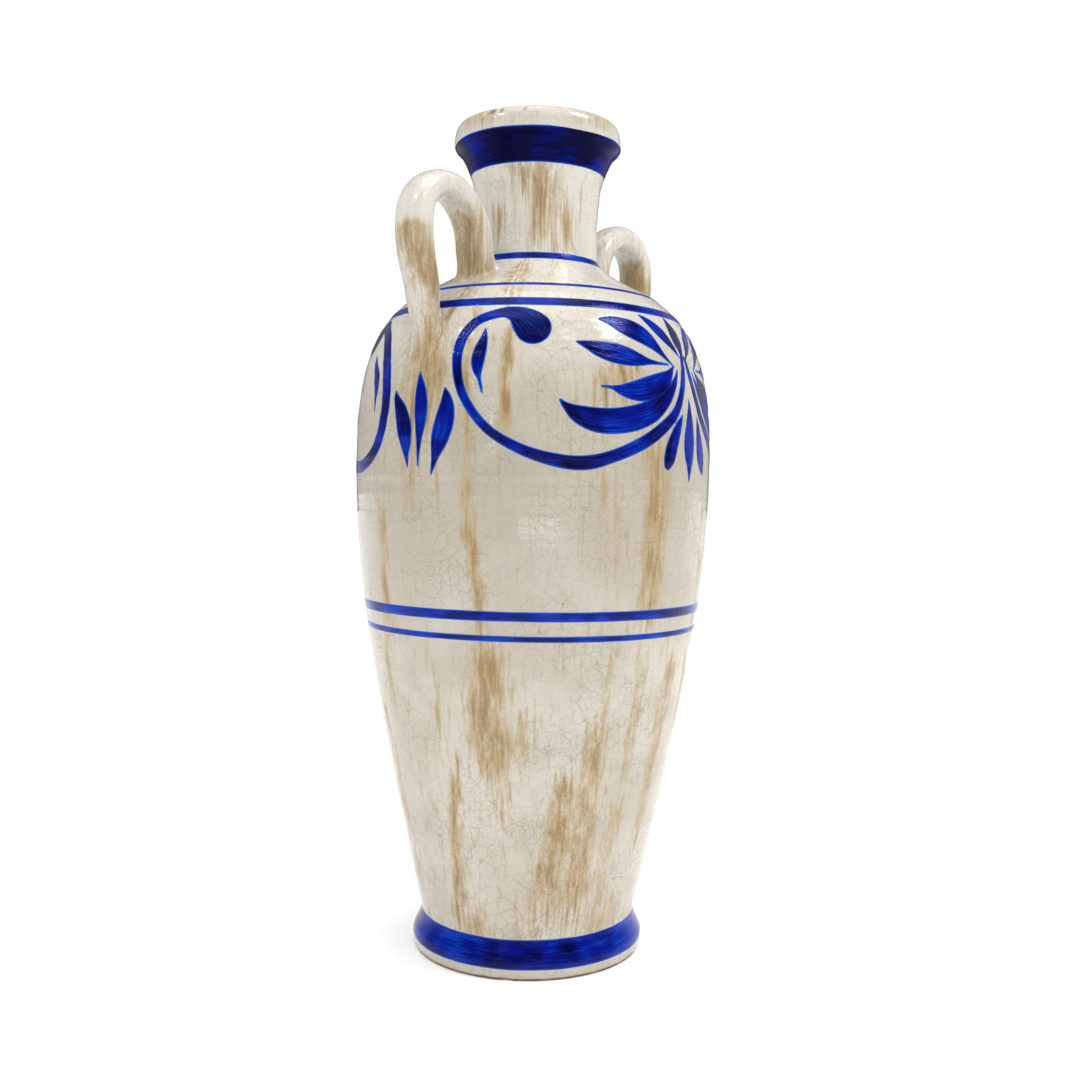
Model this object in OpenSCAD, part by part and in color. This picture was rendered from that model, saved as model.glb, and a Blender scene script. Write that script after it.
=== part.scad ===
// Two-handled talavera jar: a tall wheel-thrown belly on a turned foot, a narrow
// neck with a rolled lip, and two pulled strap handles luted to the shoulder.
// Z is up, the jar stands on z = 0 and its axis is the Z axis. The handles lie on
// the -X and +X sides and the painted front faces -Y.

/* [Jar] */
// Height from the table to the top of the lip
height = 450; // [440:1:460]
// Widest diameter of the foot
foot_d = 126.6; // [122:0.2:130]
// Diameter of the waist, where the body meets the foot
waist_d = 117.4; // [114:0.2:120]
// Diameter of the belly
belly_d = 194; // [188:1:198]
// Height of the widest part of the belly
belly_z = 264; // [258:1:270]
// Height of the seam between the lower and the upper body
seam_z = 184; // [180:1:188]
// Diameter of the neck
neck_d = 68; // [66:0.5:71]
// Diameter of the lip
lip_d = 91; // [88:0.5:94]

/* [Clay] */
// Thickness of the thrown wall
wall = 7.5; // [6.5:0.25:8.5]
// Thickness of the floor
floor_t = 9; // [7:0.5:11]
// Height of the foot ring
foot_h = 20; // [18:0.5:22]
// Radius of the open recess under the foot
recess_r = 50; // [46:0.5:51]
// Depth of the key that locks two thrown pieces together
key = 3; // [2:0.25:3.5]
// How far a luting coil stands in from the wall
coil_t = 3; // [2:0.25:4]

/* [Handles] */
// Width of the strap, seen from the side
strap_w = 19.8; // [18:0.2:23]
// Thickness of the strap
strap_t = 14; // [12:0.5:15]
// Angle by which each hand-placed handle sits forward of the middle plane
handle_turn = 0.35; // [0:0.05:3]
// How far a luting collar stands out from the strap
collar_t = 1.6; // [1.2:0.1:2]
// How far a luting collar spreads where it meets the shoulder
collar_spread = 6; // [4:0.5:7]

/* [Hidden] */
$fn = 96;

cream = [0.86, 0.83, 0.77];
cobalt = [0.03, 0.06, 0.42];
clay = [0.72, 0.52, 0.38];

foot_r = foot_d / 2;
waist_r = waist_d / 2;
belly_r = belly_d / 2;
neck_r = neck_d / 2;
lip_r = lip_d / 2;
floor_z = foot_h - floor_t * 2 / 3;

// Stations of the outer line, from the table up. Each one is
// [radius, height, direction of travel in degrees, pull before it, pull after it]
foot_edge = [foot_r - 1.3, 0, 62, 3, 2.5];
foot_round = [foot_r, 7.5, 92, 2.7, 2.8];
waist = [waist_r, foot_h, 100, 5.5, 2.5];
waist_rise = [waist_r + 4.5, foot_h + 20, 78, 6, 21.4];
belly_seam = [belly_r - 6, seam_z, 82.4, 64, 27];
belly = [belly_r, belly_z, 90, 25.6, 43];
shoulder = [neck_r + 26.5, height - 92, 153, 36, 8.8];
neck_seam = [neck_r + 2.7, height - 77.5, 135, 7.1, 2.2];
neck_base = [neck_r, height - 73, 96.5, 1.4, 14];
neck_waist = [neck_r + 0.2, height - 38, 85, 14, 6.5];
flare = [neck_r + 7.5, height - 16, 58, 7.6, 3.3];
lip_edge = [lip_r, height - 10.5, 91, 2.3, 4];
lip_top = [lip_r - 5, height, 178, 4.4, 3.4];

// Number of steps between two stations, on long, middling and short stretches
long_steps = 12;
mid_steps = 8;
short_steps = 4;

// Controls of the cubic curve between two stations
function controls(a, b) = [
    [a[0], a[1]],
    [a[0] + a[4] * cos(a[2]), a[1] + a[4] * sin(a[2])],
    [b[0] - b[3] * cos(b[2]), b[1] - b[3] * sin(b[2])],
    [b[0], b[1]]
];

function on_curve(c, t) =
    pow(1 - t, 3) * c[0] + 3 * pow(1 - t, 2) * t * c[1]
    + 3 * (1 - t) * t * t * c[2] + pow(t, 3) * c[3];

// Direction of travel on the curve, as a unit vector
function travel(c, t) =
    let (d = pow(1 - t, 2) * (c[1] - c[0]) + 2 * (1 - t) * t * (c[2] - c[1])
             + t * t * (c[3] - c[2]))
    d / norm(d);

// Points of the outer line between two stations
function outer(a, b, steps) =
    let (c = controls(a, b)) [for (i = [0 : steps]) on_curve(c, i / steps)];

// Points of the inner line behind it, one wall thickness in
function inner(a, b, steps) =
    let (c = controls(a, b))
    [for (i = [0 : steps])
        let (d = travel(c, i / steps)) on_curve(c, i / steps) + wall * [-d[1], d[0]]];

function backwards(points) = [for (i = [len(points) - 1 : -1 : 0]) points[i]];

// The keyed joint at a station, from the outer line to the inner line
function joint(s) =
    let (along = [cos(s[2]), sin(s[2])],
         out = [s[0], s[1]],
         in = out + wall * [-along[1], along[0]])
    [out, out * 0.75 + in * 0.25, (out + in) / 2 - key * along,
     out * 0.25 + in * 0.75, in];

// A luting coil's round back, from its upper to its lower point on the inner line
function coil_back(high, low, steps) =
    let (middle = (high + low) / 2,
         half = (high - low) / 2,
         inward = [-half[1], half[0]] / norm(half))
    [for (i = [1 : steps - 1])
        let (a = 180 * i / steps) middle + half * cos(a) + coil_t * inward * sin(a)];

lower_wall = outer(waist_rise, belly_seam, long_steps);
lower_inside = inner(waist_rise, belly_seam, long_steps);
belly_inside = inner(belly_seam, belly, mid_steps);
shoulder_inside = inner(belly, shoulder, long_steps);
throat_inside = inner(shoulder, neck_seam, short_steps);
neck_root_inside = inner(neck_seam, neck_base, short_steps);
neck_inside = inner(neck_base, neck_waist, mid_steps);
mouth_inside = inner(neck_waist, flare, mid_steps);

// The floor's top, with the round corner where it turns up into the wall
floor_corner = 13;
floor_edge = [recess_r - floor_corner, floor_z + floor_t, 0, 0, 11];
wall_foot = [lower_inside[0][0], lower_inside[0][1], waist_rise[2], 9, 0];

module foot_ring() {
    bevel = 3;
    color(cobalt)
    rotate_extrude()
    polygon(concat(
        [[recess_r + bevel, 0]],
        outer(foot_edge, foot_round, short_steps),
        outer(foot_round, waist, mid_steps),
        [[recess_r, foot_h], [recess_r, bevel]]));
}

module lower_body() {
    color(cream)
    rotate_extrude()
    polygon(concat(
        [[0, floor_z], [recess_r, floor_z], [recess_r, foot_h]],
        outer(waist, waist_rise, mid_steps),
        lower_wall,
        joint(belly_seam),
        backwards(lower_inside),
        backwards(outer(floor_edge, wall_foot, mid_steps)),
        [[0, floor_z + floor_t]]));
}

module upper_body() {
    color(cream)
    rotate_extrude()
    polygon(concat(
        outer(belly_seam, belly, mid_steps),
        outer(belly, shoulder, long_steps),
        outer(shoulder, neck_seam, short_steps),
        joint(neck_seam),
        backwards(throat_inside),
        backwards(shoulder_inside),
        backwards(belly_inside),
        backwards(joint(belly_seam))));
}

module neck() {
    color(cream)
    rotate_extrude()
    polygon(concat(
        outer(neck_seam, neck_base, short_steps),
        outer(neck_base, neck_waist, mid_steps),
        outer(neck_waist, flare, mid_steps),
        joint(flare),
        backwards(mouth_inside),
        backwards(neck_inside),
        backwards(neck_root_inside),
        backwards(joint(neck_seam))));
}

module lip_coil() {
    seam = joint(flare);
    inside_end = seam[len(seam) - 1];
    lip_inside = [inside_end[0] - 0.9, height - 6.5, 268, 4.2, 2];
    crease = [inside_end[0], inside_end[1], 300, 2, 0];
    color(cream)
    rotate_extrude()
    polygon(concat(
        outer(flare, lip_edge, short_steps),
        outer(lip_edge, lip_top, mid_steps),
        outer(lip_top, lip_inside, mid_steps),
        outer(lip_inside, crease, short_steps),
        backwards(seam)));
}

module belly_seam_coil() {
    low = lower_inside[long_steps - 1];
    high = belly_inside[1];
    color(clay)
    rotate_extrude()
    polygon(concat([low, belly_inside[0], high], coil_back(high, low, mid_steps)));
}

module neck_seam_coil() {
    low = throat_inside[short_steps - 1];
    high = neck_inside[0];
    color(clay)
    rotate_extrude()
    polygon(concat([low], neck_root_inside, coil_back(high, low, mid_steps)));
}

// Each handle's middle line is a chain of round bends in its own XZ plane. It starts
// inside the shoulder beside the neck, at strap_start, and heads up at strap_heading.
// A bend is [radius, turn in degrees], and a negative turn bends outwards and down.
strap_start = [neck_r + 20, height - 101.5];
strap_heading = 106;
bends = [[75, -23], [30, -57], [19, -58], [20, -53], [62, -24], [90, 20], [24, -55]];
// Largest turn between two rings of the strap, in degrees
bend_step = 9;
strap_sides = 20;
// How much wider the strap grows at its roots
root_growth = 0.12;

// Where each collar grips the strap: [number of the bend, degrees along it]
inner_grip = [0, -20];
outer_grip = [5, 8];
// Where each collar lands on the wall: [share of the way between two stations, length]
inner_pad = [0.4, 25];
outer_pad = [0.5, 32];
// Thickness of the discs that a collar is drawn out between
disc_t = 0.5;

// The point and heading some degrees along a bend that starts at [point, heading]
function along_bend(from, bend, turned) =
    let (side = sign(bend[1]), h = from[1])
    [from[0] + side * bend[0] * ([-sin(h), cos(h)] + [sin(h + turned), -cos(h + turned)]),
     h + turned];

// Point and heading at the start of bend number i
function bend_start(i) =
    i == 0 ? [strap_start, strap_heading]
    : along_bend(bend_start(i - 1), bends[i - 1], bends[i - 1][1]);

function bend_steps(i) = ceil(abs(bends[i][1]) / bend_step);

// Points and headings down the whole middle line
strap_line = [
    for (i = [0 : len(bends) - 1])
        for (j = [1 : bend_steps(i)])
            along_bend(bend_start(i), bends[i], bends[i][1] * j / bend_steps(i))
];

// An oval ring of points across the strap at [point, heading]
function strap_ring(at, growth) =
    [for (k = [0 : strap_sides - 1])
        let (a = 360 * k / strap_sides,
             off = growth * strap_t / 2 * cos(a))
        [at[0][0] - off * sin(at[1]), growth * strap_w / 2 * sin(a),
         at[0][1] + off * cos(at[1])]];

// The strap swells a little towards both roots
function swelling(i) = 1 + root_growth * pow(2 * i / (len(strap_line) - 1) - 1, 8);

// The whole strap, with both ends running on into the shoulder
module strap() {
    last = len(strap_line) - 1;
    n = strap_sides;
    points = [for (i = [0 : last]) each strap_ring(strap_line[i], swelling(i))];
    sides = [for (i = [0 : last - 1])
                for (k = [0 : n - 1])
                    let (next = (k + 1) % n)
                    [i * n + k, i * n + next, (i + 1) * n + next, (i + 1) * n + k]];
    start_cap = [for (k = [n - 1 : -1 : 0]) k];
    end_cap = [for (k = [0 : n - 1]) last * n + k];
    polyhedron(points, concat([start_cap, end_cap], sides));
}

// The filled shoulder and neck, which trims whatever is luted to them
module shoulder_envelope() {
    rotate_extrude()
    polygon(concat(
        [[0, belly_z]],
        outer(belly, shoulder, long_steps),
        outer(shoulder, neck_seam, short_steps),
        outer(neck_seam, neck_base, short_steps),
        [[0, neck_base[1]]]));
}

module handle() {
    difference() {
        strap();
        shoulder_envelope();
    }
}

// A thin oval disc at a point of the handle's plane, facing along a heading
module disc(point, heading, thickness, width) {
    translate([point[0], 0, point[1]])
    rotate([0, 90 - heading, 0])
    linear_extrude(disc_t, center = true)
    polygon([for (k = [0 : strap_sides - 1])
        let (a = 360 * k / strap_sides) [thickness / 2 * cos(a), width / 2 * sin(a)]]);
}

// A collar of smeared clay, from its grip round the strap down to its pad on the wall
// between stations a and b
module collar(grip, pad, a, b) {
    wall_line = controls(a, b);
    wall_travel = travel(wall_line, pad[0]);
    pad_heading = atan2(wall_travel[1], wall_travel[0]) - 90;
    held = along_bend(bend_start(grip[0]), bends[grip[0]], grip[1]);
    hull() {
        disc(held[0], held[1], strap_t + 2 * collar_t, strap_w + 2 * collar_t);
        disc(on_curve(wall_line, pad[0]), pad_heading, pad[1],
             strap_w + 2 * collar_spread);
    }
}

// The two collars, one round each root of the strap
module luting() {
    difference() {
        union() {
            collar(inner_grip, inner_pad, shoulder, neck_seam);
            collar(outer_grip, outer_pad, belly, shoulder);
        }
        strap();
        shoulder_envelope();
    }
}

module handle_left() {
    color(cream)
    rotate([0, 0, 180 + handle_turn])
    handle();
}

module handle_right() {
    color(cream)
    rotate([0, 0, -handle_turn])
    handle();
}

module handle_left_luting() {
    color(cream)
    rotate([0, 0, 180 + handle_turn])
    luting();
}

module handle_right_luting() {
    color(cream)
    rotate([0, 0, -handle_turn])
    luting();
}

foot_ring();
lower_body();
upper_body();
neck();
lip_coil();
belly_seam_coil();
neck_seam_coil();
handle_left();
handle_right();
handle_left_luting();
handle_right_luting();
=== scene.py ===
"""A two-handled talavera jar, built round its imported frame.

The clay is a set of turned shells cut from one outline, each strap is swept along the
CAD model's chain of bends, and every brush stroke is a thin raised skin of cobalt glaze
on the wall. Lengths are millimetres here, and become metres when a mesh is made.

Places on the wall are given by az, degrees round the jar from beside the left handle
towards the front, and by z, the height, or by s, the length along the outline.
"""

import math

import bpy
import numpy as np
from mathutils import Matrix, Vector


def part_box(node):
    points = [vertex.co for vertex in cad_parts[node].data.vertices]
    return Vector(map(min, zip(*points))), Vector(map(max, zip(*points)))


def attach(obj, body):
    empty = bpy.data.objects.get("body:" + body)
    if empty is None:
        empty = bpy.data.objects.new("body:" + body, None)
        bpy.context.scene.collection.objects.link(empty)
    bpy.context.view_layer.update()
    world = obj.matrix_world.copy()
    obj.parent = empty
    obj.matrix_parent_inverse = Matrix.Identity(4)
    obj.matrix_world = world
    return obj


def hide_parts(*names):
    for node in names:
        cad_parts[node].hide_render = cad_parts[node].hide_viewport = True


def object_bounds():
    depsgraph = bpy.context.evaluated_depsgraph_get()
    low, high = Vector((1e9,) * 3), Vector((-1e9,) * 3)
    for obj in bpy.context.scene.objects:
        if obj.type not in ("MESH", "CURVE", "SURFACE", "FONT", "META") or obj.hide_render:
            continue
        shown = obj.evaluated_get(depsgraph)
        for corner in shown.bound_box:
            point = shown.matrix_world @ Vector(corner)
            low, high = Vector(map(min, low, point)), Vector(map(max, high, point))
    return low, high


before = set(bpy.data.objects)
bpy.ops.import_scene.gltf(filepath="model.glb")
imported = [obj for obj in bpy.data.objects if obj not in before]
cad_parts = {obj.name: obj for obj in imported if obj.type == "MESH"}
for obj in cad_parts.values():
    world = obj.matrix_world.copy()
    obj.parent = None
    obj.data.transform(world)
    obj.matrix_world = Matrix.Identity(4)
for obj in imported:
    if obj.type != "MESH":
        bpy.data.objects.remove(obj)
cad_box = [list(corner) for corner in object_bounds()]

MM = 0.001


def width(node):
    """The greater horizontal size of a CAD node."""
    low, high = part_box(node)
    return max(high.x - low.x, high.y - low.y) / MM


# ---------------- sizes and outline

HEIGHT = cad_box[1][2] / MM
FOOT_R = width("foot_ring") / 2
FOOT_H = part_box("foot_ring")[1].z / MM
BELLY_R = width("upper_body") / 2
FLARE_OUT = 7.5
NECK_R = width("neck") / 2 - FLARE_OUT
LIP_R = width("lip_coil") / 2
BELLY_Z = 264
SEAM_Z = 184
RECESS_R = 50
WALL = 7.5
FLOOR_LOW = FOOT_H - 6
FLOOR_TOP = FOOT_H + 3
KEY = 3

# Stations of the outer line, as in the CAD model: radius, height, direction of travel
# in degrees, pull of the curve before the station, pull after it
FOOT_EDGE = (FOOT_R - 1.3, 0, 62, 3, 2.5)
FOOT_ROUND = (FOOT_R, 7.5, 92, 2.7, 2.8)
WAIST = (FOOT_R - 4.6, FOOT_H, 100, 5.5, 2.5)
WAIST_RISE = (FOOT_R - 0.1, FOOT_H + 20, 78, 6, 21.4)
BELLY_SEAM = (BELLY_R - 6, SEAM_Z, 82.4, 64, 27)
BELLY = (BELLY_R, BELLY_Z, 90, 25.6, 43)
SHOULDER = (NECK_R + 26.5, HEIGHT - 92, 153, 36, 8.8)
NECK_SEAM = (NECK_R + 2.7, HEIGHT - 77.5, 135, 7.1, 2.2)
NECK_BASE = (NECK_R, HEIGHT - 73, 96.5, 1.4, 14)
NECK_WAIST = (NECK_R + 0.2, HEIGHT - 38, 85, 14, 6.5)
FLARE = (NECK_R + FLARE_OUT, HEIGHT - 16, 58, 7.6, 3.3)
LIP_EDGE = (LIP_R, HEIGHT - 10.5, 91, 2.3, 4)
LIP_TOP = (LIP_R - 5, HEIGHT, 178, 4.4, 3.4)
OUTER_STATIONS = (FOOT_EDGE, FOOT_ROUND, WAIST, WAIST_RISE, BELLY_SEAM, BELLY, SHOULDER,
                  NECK_SEAM, NECK_BASE, NECK_WAIST, FLARE, LIP_EDGE, LIP_TOP)

# Azimuths of the landmarks round the jar, and of the row frame's own -Y
LEFT_HANDLE = -2.8
LEFT_LEAVES = -1.0
FRONT_AXIS = 92.3
RIGHT_HANDLE = 176.5
BACK_AXIS = 269.0
MINUS_Y = 86.85


def bezier(a, b, steps=60, inset=0.0):
    """Points of the curve between two stations, moved inwards by inset."""
    def unit(station):
        angle = math.radians(station[2])
        return np.array([math.cos(angle), math.sin(angle)])
    p0, p3 = np.array(a[:2], float), np.array(b[:2], float)
    p1, p2 = p0 + a[4] * unit(a), p3 - b[3] * unit(b)
    t = np.linspace(0, 1, steps + 1)[:, None]
    points = ((1 - t) ** 3 * p0 + 3 * (1 - t) ** 2 * t * p1
              + 3 * (1 - t) * t ** 2 * p2 + t ** 3 * p3)
    travel = ((1 - t) ** 2 * (p1 - p0) + 2 * (1 - t) * t * (p2 - p1)
              + t ** 2 * (p3 - p2))
    travel /= np.linalg.norm(travel, axis=1, keepdims=True)
    return points + inset * np.stack([-travel[:, 1], travel[:, 0]], 1)


def line(stations, inset=0.0):
    """Points of the curve through several stations."""
    parts = [bezier(a, b, inset=inset) for a, b in zip(stations, stations[1:])]
    return np.concatenate([parts[0]] + [part[1:] for part in parts[1:]])


OUTLINE = line(OUTER_STATIONS)
OUTLINE_S = np.concatenate([[0], np.cumsum(np.linalg.norm(np.diff(OUTLINE, axis=0), axis=1))])


def s_at(z):
    return np.interp(z, OUTLINE[:, 1], OUTLINE_S)


def outline_at(s):
    """Radius, height and outward normal at a length along the outline."""
    reach = 0.4
    r, z = (np.interp(s, OUTLINE_S, OUTLINE[:, k]) for k in (0, 1))
    ahead, behind = ([np.interp(s + d, OUTLINE_S, OUTLINE[:, k]) for k in (0, 1)]
                     for d in (reach, -reach))
    dr, dz = ahead[0] - behind[0], ahead[1] - behind[1]
    size = np.hypot(dr, dz)
    return r, z, dz / size, -dr / size


def wobble(az, z):
    """How far the hand-thrown wall stands out from its true circle."""
    a = np.radians(az)
    rings = 0.06 * np.sin(0.62 * z + 1.7 * np.sin(0.043 * z)) * (0.6 + 0.4 * np.cos(a - 0.02 * z))
    spiral = 0.035 * np.sin(1.3 * z + a)
    oval = 0.2 * np.cos(2 * a + 0.6) + 0.1 * np.cos(3 * a - 0.012 * z)
    return rings + spiral + oval


def place(az, r, z):
    """Points in the row frame, in millimetres."""
    turn = np.radians(np.asarray(az) - MINUS_Y)
    return np.stack(np.broadcast_arrays(r * np.sin(turn), -r * np.cos(turn), z), -1)


def on_wall(az, s, lift=0.0):
    r, z, out_r, out_z = outline_at(s)
    return place(az, r + out_r * lift + wobble(az, z), z + out_z * lift)


# ---------------- meshes

def new_object(name, data):
    made = bpy.data.objects.new(name, data)
    bpy.context.scene.collection.objects.link(made)
    return made


def make_piece(name, points, faces, material, replaces=(), attributes=(), crease=35):
    """A mesh piece from millimetre points, smooth but for edges sharper than crease."""
    mesh = bpy.data.meshes.new(name)
    mesh.from_pydata((np.asarray(points) * MM).tolist(), [], faces)
    for key, values in dict(attributes).items():
        values = np.asarray(values, np.float32)
        if values.ndim == 1:
            mesh.attributes.new(key, "FLOAT", "POINT").data.foreach_set("value", values)
        else:
            mesh.attributes.new(key, "FLOAT_VECTOR", "POINT").data.foreach_set(
                "vector", values.ravel())
    mesh.validate()
    mesh.polygons.foreach_set("use_smooth", [True] * len(mesh.polygons))
    mesh.set_sharp_from_angle(angle=math.radians(crease))
    mesh.materials.append(material)
    piece = new_object(name, mesh)
    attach(piece, "root")
    if replaces:
        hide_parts(*replaces)


def spaced(points, step):
    """A polyline resampled at about one step, with its ends kept."""
    points = np.asarray(points, float)
    length = np.concatenate([[0], np.cumsum(np.linalg.norm(np.diff(points, axis=0), axis=1))])
    count = max(2, int(round(length[-1] / step)) + 1)
    at = np.linspace(0, length[-1], count)
    return np.stack([np.interp(at, length, points[:, k]) for k in (0, 1)], 1)


def chain(*parts):
    """Polylines joined into one, with doubled points left out."""
    joined = np.concatenate(parts)
    keep = np.concatenate([[True], np.linalg.norm(np.diff(joined, axis=0), axis=1) > 1e-6])
    return joined[keep]


def grid_faces(rows, columns, closed_rows):
    """Quads over a grid whose columns wrap round, and whose rows may too."""
    i = np.arange(rows if closed_rows else rows - 1)[:, None]
    j = np.arange(columns)[None, :]
    i2, j2 = (i + 1) % rows, (j + 1) % columns
    quads = np.stack(np.broadcast_arrays(i * columns + j, i * columns + j2,
                                         i2 * columns + j2, i2 * columns + j), -1)
    return quads.reshape(-1, 4).tolist()


def turned(name, loop, columns, material, replaces, shape=None, marks=None):
    """A solid turned from a loop of (r, z). A loop that ends on the axis is capped."""
    on_axis = loop[0][0] < 1e-6
    body = loop[1:-1] if on_axis else loop
    az = np.arange(columns) * 360 / columns
    r, z = body[:, :1], body[:, 1:]
    az, r, z = np.broadcast_arrays(az[None, :], r, z)
    out = wobble(az, z) * np.clip(r / 20, 0, 1)
    if shape:
        out = out + shape(az, z, r)
    points = place(az, r + out, z).reshape(-1, 3)
    faces = grid_faces(len(body), columns, not on_axis)
    if on_axis:
        first, last = len(points), len(points) + 1
        ends = [[0, 0, loop[0][1]], [0, 0, loop[-1][1]]]
        points = np.concatenate([points, ends])
        top = (len(body) - 1) * columns
        faces += [[first, (j + 1) % columns, j] for j in range(columns)]
        faces += [[last, top + j, top + (j + 1) % columns] for j in range(columns)]
    values = {}
    for key, field in (marks or {}).items():
        inner = field(az, z, r).ravel()
        values[key] = np.concatenate([inner, np.zeros(len(points) - len(inner))])
    make_piece(name, points, faces, material, replaces, values)


def joint(station):
    """The keyed joint at a station, from the outer line to the inner line."""
    angle = math.radians(station[2])
    along = np.array([math.cos(angle), math.sin(angle)])
    out = np.array(station[:2], float)
    inside = out + WALL * np.array([-along[1], along[0]])
    return np.array([out, out * 0.75 + inside * 0.25, (out + inside) / 2 - KEY * along,
                     out * 0.25 + inside * 0.75, inside])


# ---------------- ageing wash

# Brown smears: (az, z) of the upper and the lower end, half width in degrees at each,
# and strength. They follow the ageing of the jar's near side.
SMEARS = (
    (6.5, 352, 5, 322, 1.8, 1.6, 1.0), (43, 428, 45, 376, 15, 19, 0.72),
    (30, 428, 30, 404, 24, 18, 0.8), (38, 428, 38, 388, 9, 7, 1.0),
    (30, 410, 29, 380, 3, 4, 0.6), (48, 396, 47, 376, 4, 5, 0.7),
    (62, 406, 65, 375, 6, 8, 0.95), (-3, 404, -3, 384, 9, 8, 0.8),
    (14, 420, 16, 378, 6, 5, 0.35), (80, 420, 80, 380, 5, 4, 0.4),
    (27, 373, 27, 345, 8, 7, 0.75), (50, 371, 44, 361, 5, 9, 0.5), (8, 366, 8, 345, 8, 7, 0.6),
    (27.7, 338, 27.7, 274, 2.2, 1.6, 0.95),
    (15, 346, 17, 232, 2.2, 2.6, 0.7), (17, 240, 21, 176, 2.6, 2.4, 0.95),
    (21, 176, 23, 112, 6, 9, 1.0), (23, 124, 26, 84, 6, 3.5, 0.75),
    (32, 150, 34, 104, 3, 3, 0.55), (14, 170, 14, 108, 1.4, 1.2, 0.5),
    (75, 280, 75.5, 182, 6.5, 5, 0.85), (74, 184, 76, 90, 3.6, 2.4, 0.6),
    (65, 316, 61, 292, 7, 10, 0.95), (56, 263, 56, 239, 1.5, 1.2, 0.7),
    (61, 240, 61, 216, 1.4, 1.0, 0.6),
    (-17, 248, -17, 180, 2.4, 2.4, 0.85), (-20, 182, -22, 132, 2.2, 2.4, 0.7),
    (0, 330, 0, 268, 9, 7, 0.9), (-4, 275, -2, 232, 5, 3, 0.6), (6, 262, 5, 236, 3, 2, 0.55),
    (3, 168, 3, 126, 1.4, 1.6, 0.6), (8, 112, 0, 22, 2.5, 5, 0.85),
    (50, 112, 44, 30, 5, 10, 0.85), (63, 172, 62, 130, 1.4, 2, 0.6),
    (60, 138, 58, 28, 4, 10, 0.8), (74, 96, 70, 26, 3, 7, 0.6),
    (36, 146, 37, 126, 3, 3.4, 0.6), (92, 172, 90, 58, 4.5, 4, 0.75),
    (-30, 120, -28, 26, 4, 6, 0.6), (106, 250, 108, 120, 4, 3, 0.7),
)


def soft_step(low, high, x):
    t = np.clip((x - low) / (high - low), 0, 1)
    return t * t * (3 - 2 * t)


def smear(az, z, mark):
    """One smear's strength over the wall: feathered at its sides, frayed at its ends."""
    az_top, z_top, az_low, z_low, half_top, half_low, strength = mark
    t = np.clip((z_top - z) / (z_top - z_low), 0, 1)
    bend = 0.6 * np.sin(z * 0.11 + az_top) + 0.4 * np.sin(z * 0.31 + 2 * az_top)
    away = (az - (az_top + (az_low - az_top) * t) - bend + 180) % 360 - 180
    side = np.exp(-0.75 * np.abs(away / (half_top + (half_low - half_top) * t)) ** 2.6)
    fray = 5 * np.sin(2.1 * az + az_top) + 4 * np.sin(4.7 * az + z_low)
    ends = soft_step(-6, 8, z_top - z + fray) * soft_step(-12, 14, z - z_low + 1.5 * fray)
    patchy = 0.86 + 0.14 * np.sin(z * 0.17 + 1.9 * az_top) * np.sin(z * 0.061 + az / 3)
    return 1.2 * strength * side * ends * patchy


def hidden_smears():
    """Smears of the same kind for the sides that face away, placed by chance."""
    rng = np.random.default_rng(7)
    marks = []
    for az in np.arange(122, 332, 11.5):
        top = rng.uniform(90, 350)
        low = max(24, top - rng.uniform(40, 150))
        half = rng.uniform(1.6, 5.5)
        marks.append((az + rng.uniform(-4, 4), top, az + rng.uniform(-4, 4), low, half,
                      half * rng.uniform(0.6, 1.6), rng.uniform(0.5, 1.0)))
    for az in (150, 205, 262, 300):
        marks.append((az, 422, az + 2, 383, 6, 7, rng.uniform(0.6, 0.95)))
    return marks


ALL_SMEARS = list(SMEARS) + hidden_smears()


def stain_and_shade(az, z, r):
    """The wash over a turned shell, from 0 to a little over 1, and thin on the inside. On the lip
    it is partly painted shade.
    """
    outside = r > np.interp(z, OUTLINE[:, 1], OUTLINE[:, 0]) - 1.5
    a = np.radians(az)
    base = 0.13 + 0.07 * np.sin(3 * a + 0.02 * z) + 0.05 * np.sin(7 * a + 1.3)
    total = np.full(np.shape(az), 0.0) + base
    for mark in ALL_SMEARS:
        total = np.maximum(total, smear(az, z, mark) + 0.3 * base)
    skirt = soft_step(58, 22, z) * (0.37 + 0.25 * np.sin(5 * a + 0.4) + 0.2 * np.sin(11 * a))
    total = np.maximum(total, skirt) * soft_step(5.5, 8.5, z)
    # On the lip the brown wash is partly real staining and partly painted shade, made stronger to
    # darken the lip.
    lip = soft_step(437, 444, z) * (0.36 + 0.2 * np.sin(4 * a + 2.2))
    total = np.maximum(total, lip)
    return np.where(outside, np.clip(total, 0, 1.15), 0.22)


# ---------------- materials

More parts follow.
